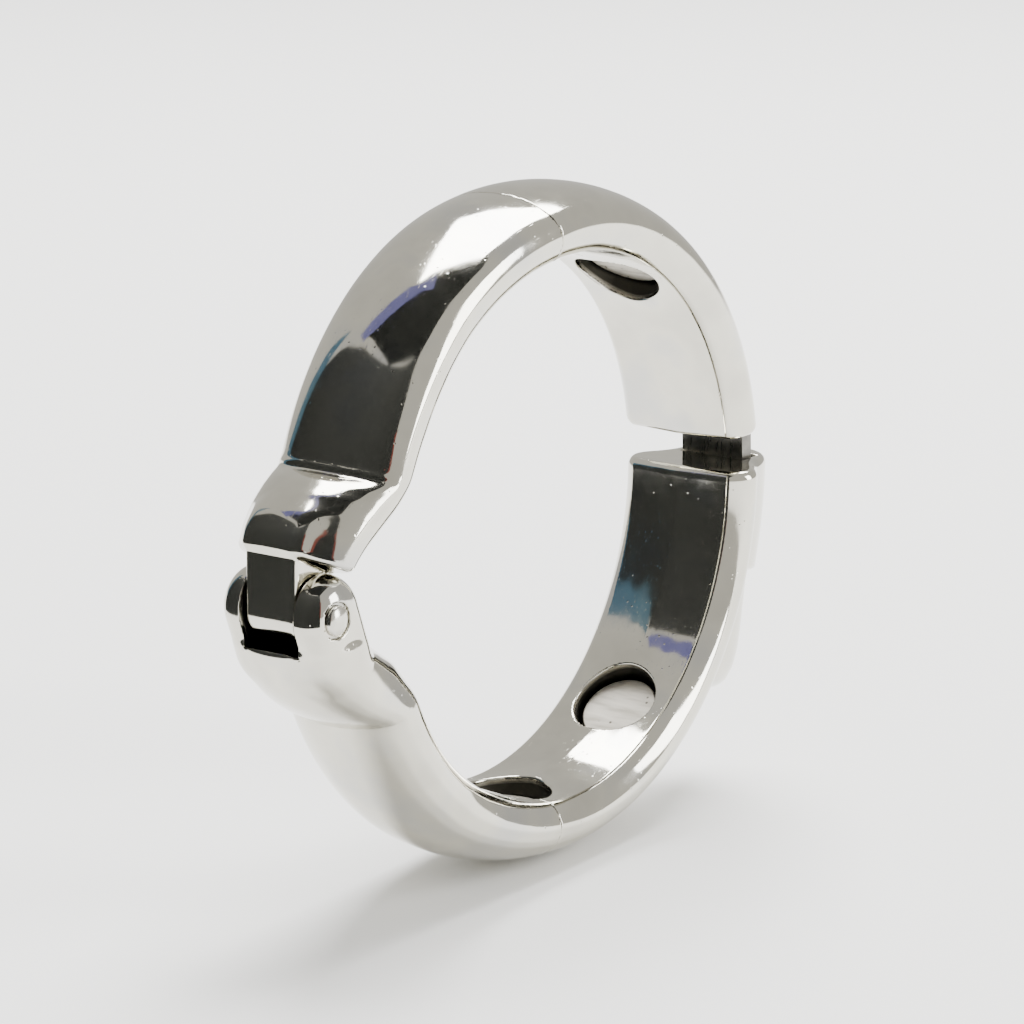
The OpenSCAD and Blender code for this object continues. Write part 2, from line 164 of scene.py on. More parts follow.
def wall(r, z, widest, half, land, inner, outer):
    """The ring's wall: half ellipse outside, drafted land and quarter-ellipse blends inside."""
    u = r - widest
    out = u > 0
    a = np.where(out, outer - widest, widest - inner)
    b = np.where(out, half, half - land)
    v = np.where(out, z, np.maximum(np.abs(z) - land, 0))
    value = (u / a) ** 2 + (v / b) ** 2 - 1
    slope = 2 * np.sqrt((u / a**2) ** 2 + (v / b**2) ** 2) + 1e-6
    body = np.maximum(value / slope, -2.0)
    return fillet_and(body, inner + DRAFT * np.abs(z) - r, 0.06)


def dome(r, z, base, top, half, power=2.5):
    """A boxy dome standing on the wall."""
    u = np.maximum(r - base, 0) / (top - base)
    v = np.abs(z) / half
    s = (u**power + v**power + 1e-9) ** (1 / power)
    return np.maximum((s - 1) * np.minimum(half, top - base), base - 0.6 - r)


def drum(x, y, z, centre, radius, half):
    """A round bar along z."""
    return np.maximum(np.hypot(x - centre[0], y - centre[1]) - radius, np.abs(z) - half)


def lug(x, y, z, start, end, radius, half, r):
    """A rounded bar from start to end in the ring's plane, with edges rounded by r."""
    dx, dy = end[0] - start[0], end[1] - start[1]
    t = np.clip(((x - start[0]) * dx + (y - start[1]) * dy) / (dx * dx + dy * dy), 0, 1)
    side = np.hypot(x - start[0] - t * dx, y - start[1] - t * dy) - radius
    return fillet_and(side, np.abs(z) - half, r)


def recess(x, y, z, angle):
    """Round pocket for a disc magnet, bored from inside the ring."""
    a = math.radians(angle)
    along = x * math.cos(a) + y * math.sin(a)
    across = y * math.cos(a) - x * math.sin(a)
    pocket = np.maximum(np.hypot(across, z) - RECESS_RADIUS, along - MAGNET_FACE - MAGNET_THICKNESS)
    return np.maximum(pocket, 12 - along)


def tenon(x, y, z, low, high, gap):
    """Flat tongue inside a butt joint, from angle low to angle high."""
    r = np.hypot(x, y)
    bar = np.maximum(np.abs(r - 23.6) - 0.55 - gap, np.abs(z) - 2.5 - gap)
    return np.maximum(np.maximum(bar, turn_from(x, y, high)), -turn_from(x, y, low))


def about_hinge(x, y):
    """Distance from the hinge's axis, and the angle round it."""
    dx, dy = x - HINGE[0], y - HINGE[1]
    return np.hypot(dx, dy), np.degrees(np.arctan2(dy, dx))


# ---------- castings ----------
# each is a field, negative inside; uncut leaves out the slots, recesses and bores
def upper_hinge_casting(x, y, z, uncut=False):
    r = np.hypot(x, y)
    a = np.minimum(ring_angle(x, y, -90), 178)
    widest = glide(a, [(99, WIDEST), (128, 22.7), (160, 22.7), (164, 23.6), (167, 24.7), (170, 25.8), (172.6, 26.5),
                       (175, 27.0), (180, 27.5)], 2.0)
    outer = glide(a, [(99, OUTSIDE), (128, 25.5), (161, 25.5), (162.6, 26.7), (164.5, 27.8), (167, 28.8),
                      (170, 29.45), (173, 29.75), (176, 29.9), (180, 30.0)], 0.5)
    lip = 0.13 * np.exp(-(((a - 160.2) / 0.55) ** 2))
    inner = glide(a, [(99, BORE), (150, BORE), (158, 20.3), (162.5, 20.6), (165.6, 20.9), (169.4, 22.1),
                      (172.8, 23.8), (175, 24.8), (178, 26.0)], 2.0)
    half = glide(a, [(99, HALF_WIDTH), (128, 5.3), (161, 5.3), (175, 4.6)], 2.5)
    land = glide(a, [(99, HALF_LAND), (128, 2.4), (161, 2.2), (175, 0.8)], 2.5)
    body = wall(r, z, widest, half, land, inner, outer + lip)
    under = (x - HINGE[0]) * math.cos(SHOULDER_TILT) + (y - HINGE[1]) * math.sin(SHOULDER_TILT)
    knuckle = lug(x, y, z, (HINGE[0] + 0.4, HINGE[1]), (HINGE[0] + 0.5, HINGE[1] + 4.4), KNUCKLE_RADIUS,
                  KNUCKLE_HALF, 0.45)
    # the knuckle melts into the shoulder above, and comes out of its underside below
    body = fillet_or(body, knuckle, 1.6)
    body = fillet_and(body, SHOULDER_GAP - under, 0.5)
    body = fillet_or(body, knuckle, 0.3)
    body = fillet_and(body, -turn_from(x, y, SEAM), UPPER_SEAM_EDGE)
    body = np.minimum(body, tenon(x, y, z, SEAM - 8, SEAM + 2, 0))
    if uncut:
        return body
    body = cut(body, recess(x, y, z, SEAM_MAGNET), RECESS_EDGE)
    return cut(body, drum(x, y, z, HINGE, KNUCKLE_BORE, PIN_REACH), BORE_EDGE)


def lower_hinge_casting(x, y, z, uncut=False):
    r = np.hypot(x, y)
    a = np.clip(ring_angle(x, y, 0), 182, 262)
    rise = np.sin(np.radians(90 * np.clip((203 - a) / 19, 0, 1)))
    plain = glide(a, [(232, 0.4), (261, 0.0)], 2.0)
    widest = WIDEST + plain + 4.1 * glide(a, [(182, 1.0), (184, 1.0), (189, 0.917), (194, 0.677), (199, 0.325),
                                              (203, 0.0), (210, 0.0)], 2.0)
    outer = OUTSIDE + plain + 4.9 * rise
    inner = glide(a, [(180, 26.0), (182, 24.7), (185, 24.1), (188.9, 23.0), (191.5, 21.8), (195.6, 20.5),
                      (201, 20.05), (207, BORE)], 2.0)
    half = glide(a, [(184, 4.6), (203, 5.3), (232, 5.3), (261, HALF_WIDTH)], 2.5)
    land = glide(a, [(184, 0.8), (203, 2.2), (232, 2.4), (261, HALF_LAND)], 2.5)
    body = wall(r, z, widest, half, land, inner, outer)
    body = fillet_and(body, -turn_from(x, y, 185.5), 0.6)
    ears = lug(x, y, z, (HINGE[0] + 0.6, HINGE[1]), (-26.3, -3.6), EAR_RADIUS, EAR_HALF, 1.9)
    body = fillet_or(body, ears, 0.5)
    body = fillet_and(body, turn_from(x, y, -SEAM), LOWER_SEAM_EDGE)
    body = np.minimum(body, tenon(x, y, z, -SEAM - 2, -SEAM + 8, 0))
    if uncut:
        return body
    body = cut(body, drum(x, y, z, HINGE, FORK_RADIUS, FORK_HALF), 0.12)
    seats = np.maximum(np.hypot(x - HINGE[0], y - HINGE[1]) - HEAD_SEAT, HEAD_SEAT_FLOOR - np.abs(z))
    body = cut(body, seats, 0.08)
    body = cut(body, recess(x, y, z, -SEAM_MAGNET), RECESS_EDGE)
    return cut(body, drum(x, y, z, HINGE, EAR_BORE, PIN_REACH), BORE_EDGE)


def upper_latch_casting(x, y, z, uncut=False):
    r = np.hypot(x, y)
    body = wall(r, z, WIDEST, HALF_WIDTH, HALF_LAND, BORE, OUTSIDE)
    boss = dome(r, z, WIDEST, 27.9, 3.9)
    boss = np.maximum(boss, np.hypot(x - 3.914, y + 6.798) - 25.72)
    boss = np.maximum(boss, turn_from(x, y, UPPER_END + 24))
    body = fillet_or(body, boss, 0.9)
    body = fillet_and(body, -turn_from(x, y, UPPER_END), END_EDGE)
    body = fillet_and(body, turn_from(x, y, SEAM), UPPER_SEAM_EDGE)
    if uncut:
        return body
    body = cut(body, recess(x, y, z, FRONT_MAGNET), RECESS_EDGE)
    body = cut(body, recess(x, y, z, SEAM_MAGNET), RECESS_EDGE)
    body = cut(body, tenon(x, y, z, SEAM - 8.5, SEAM + 2, 0.08), 0.05)
    anchor = np.maximum(np.abs(r - 25.05) - 0.63, np.abs(z) - 2.08)
    anchor = np.maximum(anchor, turn_from(x, y, UPPER_END + 7.2))
    return cut(body, anchor, 0.05)


def lower_latch_casting(x, y, z, uncut=False):
    r = np.hypot(x, y)
    body = wall(r, z, WIDEST, HALF_WIDTH, HALF_LAND, BORE, OUTSIDE)
    far, swing = about_hinge(x, y)
    housing = fillet_and(dome(r, z, WIDEST, 29.5, 4.3), far - 57.0, 0.8)
    housing = fillet_and(housing, -turn_from(x, y, -18.8), 0.5)
    body = fillet_or(body, housing, 0.9)
    body = fillet_and(body, turn_from(x, y, LOWER_END), END_EDGE)
    body = fillet_and(body, -turn_from(x, y, -SEAM), LOWER_SEAM_EDGE)
    if uncut:
        return body
    body = cut(body, recess(x, y, z, -FRONT_MAGNET), RECESS_EDGE)
    body = cut(body, recess(x, y, z, -SEAM_MAGNET), RECESS_EDGE)
    body = cut(body, tenon(x, y, z, -SEAM - 2, -SEAM + 8.5, 0.08), 0.05)
    # the tongue's slot, and room over it for the pawl
    slot = np.maximum(np.abs(far - 53.9) - 1.0, np.abs(z) - TONGUE_HALF - 0.15)
    slot = np.maximum(slot, (-6.7 - swing) * 0.93)
    body = cut(body, slot, 0.15)
    over = np.maximum(np.maximum(far - 56.25, 54.55 - far), np.abs(z) - 2.0)
    over = np.maximum(np.maximum(over, r - 28.7), (-9.5 - swing) * 0.95)
    over = np.maximum(over, swing + 0.2)
    body = cut(body, over, 0.1)
    # room for the lever's boss and stem
    core = np.maximum(np.maximum(r - 28.6, 22.1 - r), np.abs(z) - 2.6)
    core = np.maximum(np.maximum(core, turn_from(x, y, -14.2)), -turn_from(x, y, -21.4))
    low = np.maximum(np.maximum(r - 25.3, 22.1 - r), np.abs(z) - 2.6)
    low = np.maximum(np.maximum(low, turn_from(x, y, -10.0)), -turn_from(x, y, -15.0))
    body = cut(body, np.minimum(core, low), 0.1)
    # the thumb pad's pocket, open outward
    pocket = np.maximum(np.maximum(22.9 - r, np.abs(z) - 3.75), turn_from(x, y, -19.2))
    pocket = np.maximum(pocket, -turn_from(x, y, -41.2))
    body = cut(body, pocket, 0.2)
    return cut(body, drum(x, y, z, LEVER_PIN, HOUSING_PIN_BORE, PIN_REACH), 0.08)


def lever_casting(x, y, z, uncut=False):
    r = np.hypot(x, y)
    a = ring_angle(x, y, -180)
    far, swing = about_hinge(x, y)
    top = glide(a, [(-42, 25.4), (-40.2, 26.9), (-38.6, 29.0), (-36.6, 30.2), (-34, 30.6), (-31, 30.4), (-28, 29.8),
                    (-25, 29.2), (-22, 28.7), (-18, 28.4)], 0.8)
    pad = dome(r, z, PAD_FLOOR, top, 3.6, 2.6)
    pad = fillet_and(pad, PAD_FLOOR - r, PAD_EDGE)
    pad = fillet_and(pad, turn_from(x, y, -20.4), PAD_EDGE)
    pad = fillet_and(pad, -turn_from(x, y, -40.4), PAD_EDGE)
    # a groove underneath for the leaf spring when the pad is pressed
    spring_room = np.maximum(np.maximum(np.abs(z) - 1.6, r - 25.05),
                             np.maximum(turn_from(x, y, -23.0), -turn_from(x, y, -39.3)))
    pad = np.maximum(pad, -spring_room)
    core = np.maximum(np.abs(z) - 2.4, -turn_from(x, y, -20.9))
    high = np.maximum(np.maximum(r - 27.9, 22.65 - r), turn_from(x, y, -16.4))
    low = np.maximum(np.maximum(r - 25.05, 22.65 - r), turn_from(x, y, -14.0))
    stem = np.minimum(np.minimum(high, low), np.hypot(x - LEVER_PIN[0], y - LEVER_PIN[1]) - 1.3)
    body = fillet_or(pad, fillet_and(stem, core, 0.1), 0.2)
    arm = np.maximum(np.maximum(far - 55.8, 55.2 - far), np.abs(z) - PAWL_HALF)
    arm = np.maximum(np.maximum(arm, swing + 0.95), np.maximum(-8.2 - swing, r - 28.15))
    tip = np.maximum(np.maximum(far - 55.4, 54.85 + 1.2 * np.maximum(-1.05 - swing, 0) - far), np.abs(z) - PAWL_HALF)
    tip = np.maximum(tip, np.maximum(swing + 0.98, -1.9 - swing))
    body = np.minimum(body, np.minimum(arm, tip))
    return body if uncut else cut(body, drum(x, y, z, LEVER_PIN, LEVER_BORE, PIN_REACH), BORE_EDGE)


# ---------- skinning ----------
def slope_of(field, p, reach=0.01):
    """How the field rises along each axis at the points p."""
    g = np.empty_like(p)
    for k in range(3):
        ahead, behind = p.copy(), p.copy()
        ahead[:, k] += reach
        behind[:, k] -= reach
        g[:, k] = (field(*ahead.T) - field(*behind.T)) / (2 * reach)
    return g


def upright(p):
    """From the ring's plane to the standing ring: x stays, y becomes up, z comes towards the front."""
    return np.stack([p[:, 0], -p[:, 2], p[:, 1]], axis=1)


def corner_values(field, low, high, step):
    """The field at every corner of a grid of small cubes."""
    axes = [np.arange(a, b + step, step) for a, b in zip(low, high)]
    grid = np.meshgrid(*axes, indexing="ij", sparse=True)
    return np.broadcast_to(field(*grid), [len(a) for a in axes]).astype(np.float32)


def cubes_on_surface(inside):
    """The cubes that the surface crosses, and a grid of their numbers, -1 elsewhere."""
    size = np.array(inside.shape) - 1
    count = np.zeros(size, np.int8)
    for i, j, k in itertools.product((0, 1), repeat=3):
        count += inside[i:i + size[0], j:j + size[1], k:k + size[2]]
    live = (count > 0) & (count < 8)
    cubes = np.argwhere(live)
    number = np.full(size, -1, np.int32)
    number[live] = np.arange(len(cubes))
    return cubes, number


def middles_of_crossings(value, cubes, low, step):
    """In each cube, the mean of the places where the surface crosses its edges."""
    total, hits = np.zeros((len(cubes), 3)), np.zeros(len(cubes))
    for axis in range(3):
        unit = np.eye(3, dtype=int)[axis]
        for offset in itertools.product((0, 1), repeat=2):
            start = cubes + np.insert(np.array(offset), axis, 0)
            end = start + unit
            a, b = value[tuple(start.T)].astype(float), value[tuple(end.T)].astype(float)
            crossed = (a < 0) != (b < 0)
            share = np.where(crossed, a / np.where(crossed, a - b, 1), 0)
            total += np.where(crossed[:, None], start + share[:, None] * unit, 0)
            hits += crossed
    return np.array(low) + step * total / hits[:, None]


def drawn_onto(field, rough, step):
    """The points moved along the field's slope onto its surface, none further than its own cube."""
    p = rough.copy()
    for _ in range(4):
        g = slope_of(field, p)
        d = field(*p.T) / np.maximum((g**2).sum(1), 0.05)
        p = p - np.clip(d, -step, step)[:, None] * g
        p = np.clip(p, rough - 0.6 * step, rough + 0.6 * step)
    return p


def quads_across_edges(inside, number):
    """An outward face round every grid edge that the surface crosses, from the four cubes about it."""
    faces = []
    for axis in range(3):
        b, c = (axis + 1) % 3, (axis + 2) % 3
        here, ahead = [slice(1, -1)] * 3, [slice(1, -1)] * 3
        here[axis], ahead[axis] = slice(0, -1), slice(1, None)
        here, ahead = inside[tuple(here)], inside[tuple(ahead)]
        base = np.argwhere(here != ahead)
        start = base + np.array([0 if k == axis else 1 for k in range(3)])
        corners = []
        for back_b, back_c in ((1, 1), (0, 1), (0, 0), (1, 0)):
            cube = start.copy()
            cube[:, b] -= back_b
            cube[:, c] -= back_c
            corners.append(number[tuple(cube.T)])
        quads = np.stack(corners, axis=1)
        flip = ~here[tuple(base.T)]
        quads[flip] = quads[flip][:, ::-1]
        faces.append(quads)
    return np.concatenate(faces)


def skin(name, field, low, high, step):
    """One closed skin over a casting's field, shaded by the field's own slope."""
    value = corner_values(field, low, high, step)
    inside = value < 0
    cubes, number = cubes_on_surface(inside)
    p = drawn_onto(field, middles_of_crossings(value, cubes, low, step), step)
    normal = slope_of(field, p, 0.02)
    normal /= np.maximum(np.linalg.norm(normal, axis=1, keepdims=True), 1e-6)
    quads = quads_across_edges(inside, number)
    mesh = bpy.data.meshes.new(name)
    mesh.from_pydata((upright(p) * MM).tolist(), [], quads.tolist())
    mesh.polygons.foreach_set("use_smooth", np.ones(len(quads), bool))
    mesh.normals_split_custom_set_from_vertices(upright(normal).tolist())
    # how far below the uncut casting's surface each point lies, for the plating's dullness and painted shade in the
    # cuts
    depth = mesh.attributes.new("depth_in_cut", "FLOAT", "POINT")
    depth.data.foreach_set("value", np.clip(-field(*p.T, uncut=True), 0, 3).astype(np.float32))
    mesh.update()
    return link_piece(name, mesh)


# ---------- other pieces ----------
def link_piece(name, mesh):
    piece = bpy.data.objects.new(name, mesh)
    bpy.context.scene.collection.objects.link(piece)
    return piece


def turned_pin(name, centre, profile, sides=64):
    """A pin turned on the lathe: profile is (radius, height along the axis), from one tip to the other."""
    rings = [p for p in profile if p[0] > 0]
    tips = [profile[0], profile[-1]]
    turn = np.linspace(0, 2 * math.pi, sides, endpoint=False)
    points = [(centre[0] + r * math.cos(t), centre[1] + r * math.sin(t), h) for r, h in rings for t in turn]
    points += [(centre[0], centre[1], h) for _, h in tips]
    first, last = len(points) - 2, len(points) - 1
    faces = []
    for k in range(len(rings) - 1):
        for i in range(sides):
            j = (i + 1) % sides
            faces.append((k * sides + i, k * sides + j, (k + 1) * sides + j, (k + 1) * sides + i))
    for i in range(sides):
        j = (i + 1) % sides
        faces.append((first, j, i))
        faces.append((last, (len(rings) - 1) * sides + i, (len(rings) - 1) * sides + j))
    mesh = bpy.data.meshes.new(name)
    mesh.from_pydata((upright(np.array(points)) * MM).tolist(), [], faces)
    return link_piece(name, finish_faces(mesh, 35))


def finish_faces(mesh, crease):
    """Outward faces, smooth but for edges sharper than crease degrees."""
    bm = bmesh.new()
    bm.from_mesh(mesh)
    bmesh.ops.remove_doubles(bm, verts=bm.verts, dist=1e-7)
    bmesh.ops.recalc_face_normals(bm, faces=bm.faces)
    for face in bm.faces:
        face.smooth = True
    for edge in bm.edges:
        if len(edge.link_faces) == 2 and edge.calc_face_angle(0) > math.radians(crease):
            edge.smooth = False
    bm.to_mesh(mesh)
    bm.free()
    return mesh


# ---------- disc magnets, by geometry nodes ----------
def wire(tree, kind, settings=None, stops=(), **links):
    """Adds a node of that kind to a tree, with its settings and colour stops, and links or values for its inputs.

    An input is named with underscores for spaces, or by number, as _3.
    """
    node = tree.nodes.new(kind)
    for key, value in (settings or {}).items():
        setattr(node, key, value)
    if stops:
        marks = node.color_ramp.elements
        marks[0].position, marks[0].color = stops[0]
        marks[-1].position, marks[-1].color = stops[-1]
        for position, colour in stops[1:-1]:
            marks.new(position).color = colour
    for key, value in links.items():
        socket = node.inputs[int(key[1:]) if key[0] == "_" else key.replace("_", " ")]
        if isinstance(value, bpy.types.NodeSocket):
            tree.links.new(value, socket)
        else:
            socket.default_value = value
    return node


def magnet_tree(material):
    """Discs with broken rims, set round the ring: the first at one angle, the next a step further."""
    tree = bpy.data.node_groups.new("disc_magnets", "GeometryNodeTree")
    inputs = tree.interface
    inputs.new_socket("Geometry", in_out="OUTPUT", socket_type="NodeSocketGeometry")
    sizes = {"Disc radius": MAGNET_RADIUS * MM, "Disc thickness": MAGNET_THICKNESS * MM, "Rim radius": MAGNET_RIM * MM,
             "Face distance": MAGNET_FACE * MM, "First angle": math.radians(FRONT_MAGNET),
             "Angle step": math.radians(SEAM_MAGNET - FRONT_MAGNET)}
    for label, size in sizes.items():
        socket = inputs.new_socket(label, in_out="INPUT", socket_type="NodeSocketFloat")
        socket.default_value = size
    count = inputs.new_socket("Disc count", in_out="INPUT", socket_type="NodeSocketInt")
    count.default_value = 2
    given = wire(tree, "NodeGroupInput").outputs
    end = wire(tree, "ShaderNodeCombineXYZ", X=given["Disc thickness"]).outputs[0]
    line = wire(tree, "GeometryNodeCurvePrimitiveLine", End=end).outputs[0]
    rod = wire(tree, "GeometryNodeResampleCurve", Curve=line, Count=49).outputs[0]
    along = wire(tree, "GeometryNodeSplineParameter").outputs["Length"]
    # the disc is a rod of its thickness, whose radius falls off in a quarter circle at either rim
    back = wire(tree, "ShaderNodeMath", {"operation": "SUBTRACT"}, _0=given["Disc thickness"], _1=along).outputs[0]
    edge = wire(tree, "ShaderNodeMath", {"operation": "MINIMUM"}, _0=along, _1=back).outputs[0]
    inset = wire(tree, "ShaderNodeMath", {"operation": "SUBTRACT"}, _0=given["Rim radius"], _1=edge).outputs[0]
    drop = wire(tree, "ShaderNodeMath", {"operation": "MAXIMUM"}, _0=inset, _1=0.0).outputs[0]
    drop_squared = wire(tree, "ShaderNodeMath", {"operation": "POWER"}, _0=drop, _1=2.0).outputs[0]
    rim_squared = wire(tree, "ShaderNodeMath", {"operation": "POWER"}, _0=given["Rim radius"], _1=2.0).outputs[0]
    rest = wire(tree, "ShaderNodeMath", {"operation": "SUBTRACT"}, _0=rim_squared, _1=drop_squared).outputs[0]
    rest = wire(tree, "ShaderNodeMath", {"operation": "MAXIMUM"}, _0=rest, _1=0.0).outputs[0]
    left = wire(tree, "ShaderNodeMath", {"operation": "SQRT"}, _0=rest).outputs[0]
    flat = wire(tree, "ShaderNodeMath", {"operation": "SUBTRACT"}, _0=given["Disc radius"],
                _1=given["Rim radius"]).outputs[0]
    size = wire(tree, "ShaderNodeMath", {"operation": "ADD"}, _0=flat, _1=left).outputs[0]
    ring = wire(tree, "GeometryNodeCurvePrimitiveCircle", Resolution=72, Radius=1.0).outputs[0]
    disc = wire(tree, "GeometryNodeCurveToMesh", Curve=rod, Profile_Curve=ring, Scale=size, Fill_Caps=True).outputs[0]
    smooth = wire(tree, "GeometryNodeSetShadeSmooth", Geometry=disc).outputs[0]
    # each disc stands on its own spoke of the ring
    spots = wire(tree, "GeometryNodePoints", Count=given["Disc count"]).outputs[0]
    index = wire(tree, "GeometryNodeInputIndex").outputs[0]
    step = wire(tree, "ShaderNodeMath", {"operation": "MULTIPLY"}, _0=index, _1=given["Angle step"]).outputs[0]
    angle = wire(tree, "ShaderNodeMath", {"operation": "ADD"}, _0=given["First angle"], _1=step).outputs[0]
    across = wire(tree, "ShaderNodeMath", {"operation": "COSINE"}, _0=angle).outputs[0]
    across = wire(tree, "ShaderNodeMath", {"operation": "MULTIPLY"}, _0=across, _1=given["Face distance"]).outputs[0]
    up = wire(tree, "ShaderNodeMath", {"operation": "SINE"}, _0=angle).outputs[0]
    up = wire(tree, "ShaderNodeMath", {"operation": "MULTIPLY"}, _0=up, _1=given["Face distance"]).outputs[0]
    place = wire(tree, "ShaderNodeCombineXYZ", X=across, Z=up).outputs[0]
    put = wire(tree, "GeometryNodeSetPosition", Geometry=spots, Position=place).outputs[0]
    lean = wire(tree, "ShaderNodeMath", {"operation": "MULTIPLY"}, _0=angle, _1=-1.0).outputs[0]
    turn = wire(tree, "ShaderNodeCombineXYZ", Y=lean).outputs[0]
    made = wire(tree, "GeometryNodeInstanceOnPoints", Points=put, Instance=smooth, Rotation=turn).outputs[0]
    real = wire(tree, "GeometryNodeRealizeInstances", Geometry=made).outputs[0]
    dressed = wire(tree, "GeometryNodeSetMaterial", Geometry=real, Material=material).outputs[0]
    wire(tree, "NodeGroupOutput", _0=dressed)
    return tree


def magnet_pair(name, tree, sign):
    """The two magnets of one half ring, as one plain mesh."""
    carrier = link_piece(name + "_carrier", bpy.data.meshes.new(name + "_carrier"))
    modifier = carrier.modifiers.new("discs", "NODES")
    modifier.node_group = tree
    sockets = {s.name: s.identifier for s in tree.interface.items_tree if s.in_out == "INPUT"}
    modifier[sockets["First angle"]] = math.radians(sign * FRONT_MAGNET)
    modifier[sockets["Angle step"]] = math.radians(sign * (SEAM_MAGNET - FRONT_MAGNET))
    bpy.context.view_layer.update()
    seen = carrier.evaluated_get(bpy.context.evaluated_depsgraph_get())
    mesh = bpy.data.meshes.new_from_object(seen)
    mesh.name = name
    carrier.modifiers.remove(modifier)
    bpy.data.objects.remove(carrier)
    return link_piece(name, finish_faces(mesh, 40))


# ---------- finishes ----------
# a texture of scale s has features about 1/s metre across
def hex_colour(code):
    """sRGB hex to linear."""
    parts = [int(code[i:i + 2], 16) / 255 for i in (1, 3, 5)]
    return tuple(c / 12.92 if c <= 0.04045 else ((c + 0.055) / 1.055) ** 2.4 for c in parts) + (1.0,)


def new_finish(name):
    """An empty metal: its material, node tree and shader, and where a point lies on the piece, in metres."""
    material = bpy.data.materials.new(name)
    material.use_nodes = True
    tree = material.node_tree
    tree.nodes.clear()
    shader = wire(tree, "ShaderNodeBsdfPrincipled", Metallic=1.0)
    wire(tree, "ShaderNodeOutputMaterial", Surface=shader.outputs[0])
    place = wire(tree, "ShaderNodeTexCoord").outputs["Object"]
    return material, tree, shader, place


def bright_chrome():
    """Decorative chrome over nickel on die-cast zinc, mopped bright: a mirror with a warm grey cast, faint ripple from
    the casting under it, rubbed patches, hairline scratches and a few pits."""
    material, tree, shader, place = new_finish("bright_chrome_on_zinc")
    cloud = wire(tree, "ShaderNodeTexNoise", Vector=place, Scale=170.0, Detail=3.0).outputs["Fac"]
    casts = [(0.32, hex_colour("#c6c3b8")), (0.5, hex_colour("#d0cdc1")), (0.68, hex_colour("#c4c3be"))]
    tint = wire(tree, "ShaderNodeValToRGB", stops=casts, Fac=cloud).outputs[0]
    # the plating is thin and unpolished down in the cuts, so rougher there; the cuts are also darkened towards #3d3c38
    # as painted shade
    depth = wire(tree, "ShaderNodeAttribute", {"attribute_name": "depth_in_cut"}).outputs["Fac"]
    bare_and_shaded = wire(tree, "ShaderNodeMapRange", Value=depth, _1=0.12, _2=0.55, _3=0.0, _4=1.0).outputs[0]
    colour = wire(tree, "ShaderNodeMix", {"data_type": "RGBA"}, Factor=bare_and_shaded, A=tint, B=hex_colour("#3d3c38"))
    tree.links.new(colour.outputs["Result"], shader.inputs["Base Color"])
    # rubbed patches a few millimetres across, duller than the rest
    rub = wire(tree, "ShaderNodeTexNoise", Vector=place, Scale=420.0, Detail=5.0, Roughness=0.6).outputs["Fac"]
    dull = wire(tree, "ShaderNodeMapRange", Value=rub, _1=0.35, _2=0.75, _3=0.05, _4=0.14).outputs[0]
    # hairlines 0.03 mm wide drawn 0.1 mm wide, so that they show
    grain = wire(tree, "ShaderNodeMapping", Vector=place, Scale=(900.0, 9000.0, 2600.0),
                 Rotation=(0.3, 0.5, 0.8)).outputs[0]
    hair = wire(tree, "ShaderNodeTexNoise", Vector=grain, Scale=1.0, Detail=2.0).outputs["Fac"]
    line = wire(tree, "ShaderNodeMapRange", Value=hair, _1=0.66, _2=0.74, _3=0.0, _4=1.0).outputs[0]
    rough = wire(tree, "ShaderNodeMath", {"operation": "MULTIPLY_ADD"}, _0=line, _1=0.10, _2=dull).outputs[0]
    rough = wire(tree, "ShaderNodeMath", {"operation": "MULTIPLY_ADD"}, _0=bare_and_shaded, _1=0.28, _2=rough).outputs[0]
    tree.links.new(rough, shader.inputs["Roughness"])
    # ripple 3 mm across and pits 0.15 mm across
    ripple = wire(tree, "ShaderNodeTexNoise", Vector=place, Scale=330.0, Detail=1.0).outputs["Fac"]
    pits = wire(tree, "ShaderNodeTexVoronoi", {"feature": "F1"}, Vector=place, Scale=1300.0).outputs["Distance"]
    pit = wire(tree, "ShaderNodeMapRange", Value=pits, _1=0.0, _2=0.13, _3=-1.0, _4=0.0).outputs[0]
    wave = wire(tree, "ShaderNodeBump", Height=ripple, Distance=0.00006, Strength=0.6).outputs[0]
    bump = wire(tree, "ShaderNodeBump", Height=pit, Distance=0.00002, Strength=0.5, Normal=wave).outputs[0]
    scratched = wire(tree, "ShaderNodeBump", Height=line, Distance=0.000004, Strength=0.3, Normal=bump).outputs[0]
    tree.links.new(scratched, shader.inputs["Normal"])
    return material


def plated_rivet():
    """Nickel-plated steel rivet, its head spun over: bright and slightly cloudy, with fine dents from the tool."""
    material, tree, shader, place = new_finish("nickel_plated_rivet")
    cloud = wire(tree, "ShaderNodeTexNoise", Vector=place, Scale=900.0, Detail=3.0).outputs["Fac"]
    casts = [(0.3, hex_colour("#c8c5bb")), (0.7, hex_colour("#dbd8cf"))]
    tint = wire(tree, "ShaderNodeValToRGB", stops=casts, Fac=cloud).outputs[0]
    tree.links.new(tint, shader.inputs["Base Color"])
    dull = wire(tree, "ShaderNodeMapRange", Value=cloud, _1=0.3, _2=0.7, _3=0.12, _4=0.24).outputs[0]
    tree.links.new(dull, shader.inputs["Roughness"])
    dent = wire(tree, "ShaderNodeTexNoise", Vector=place, Scale=2600.0, Detail=2.0).outputs["Fac"]
    bump = wire(tree, "ShaderNodeBump", Height=dent, Distance=0.00002, Strength=0.4).outputs[0]
    tree.links.new(bump, shader.inputs["Normal"])
    return material


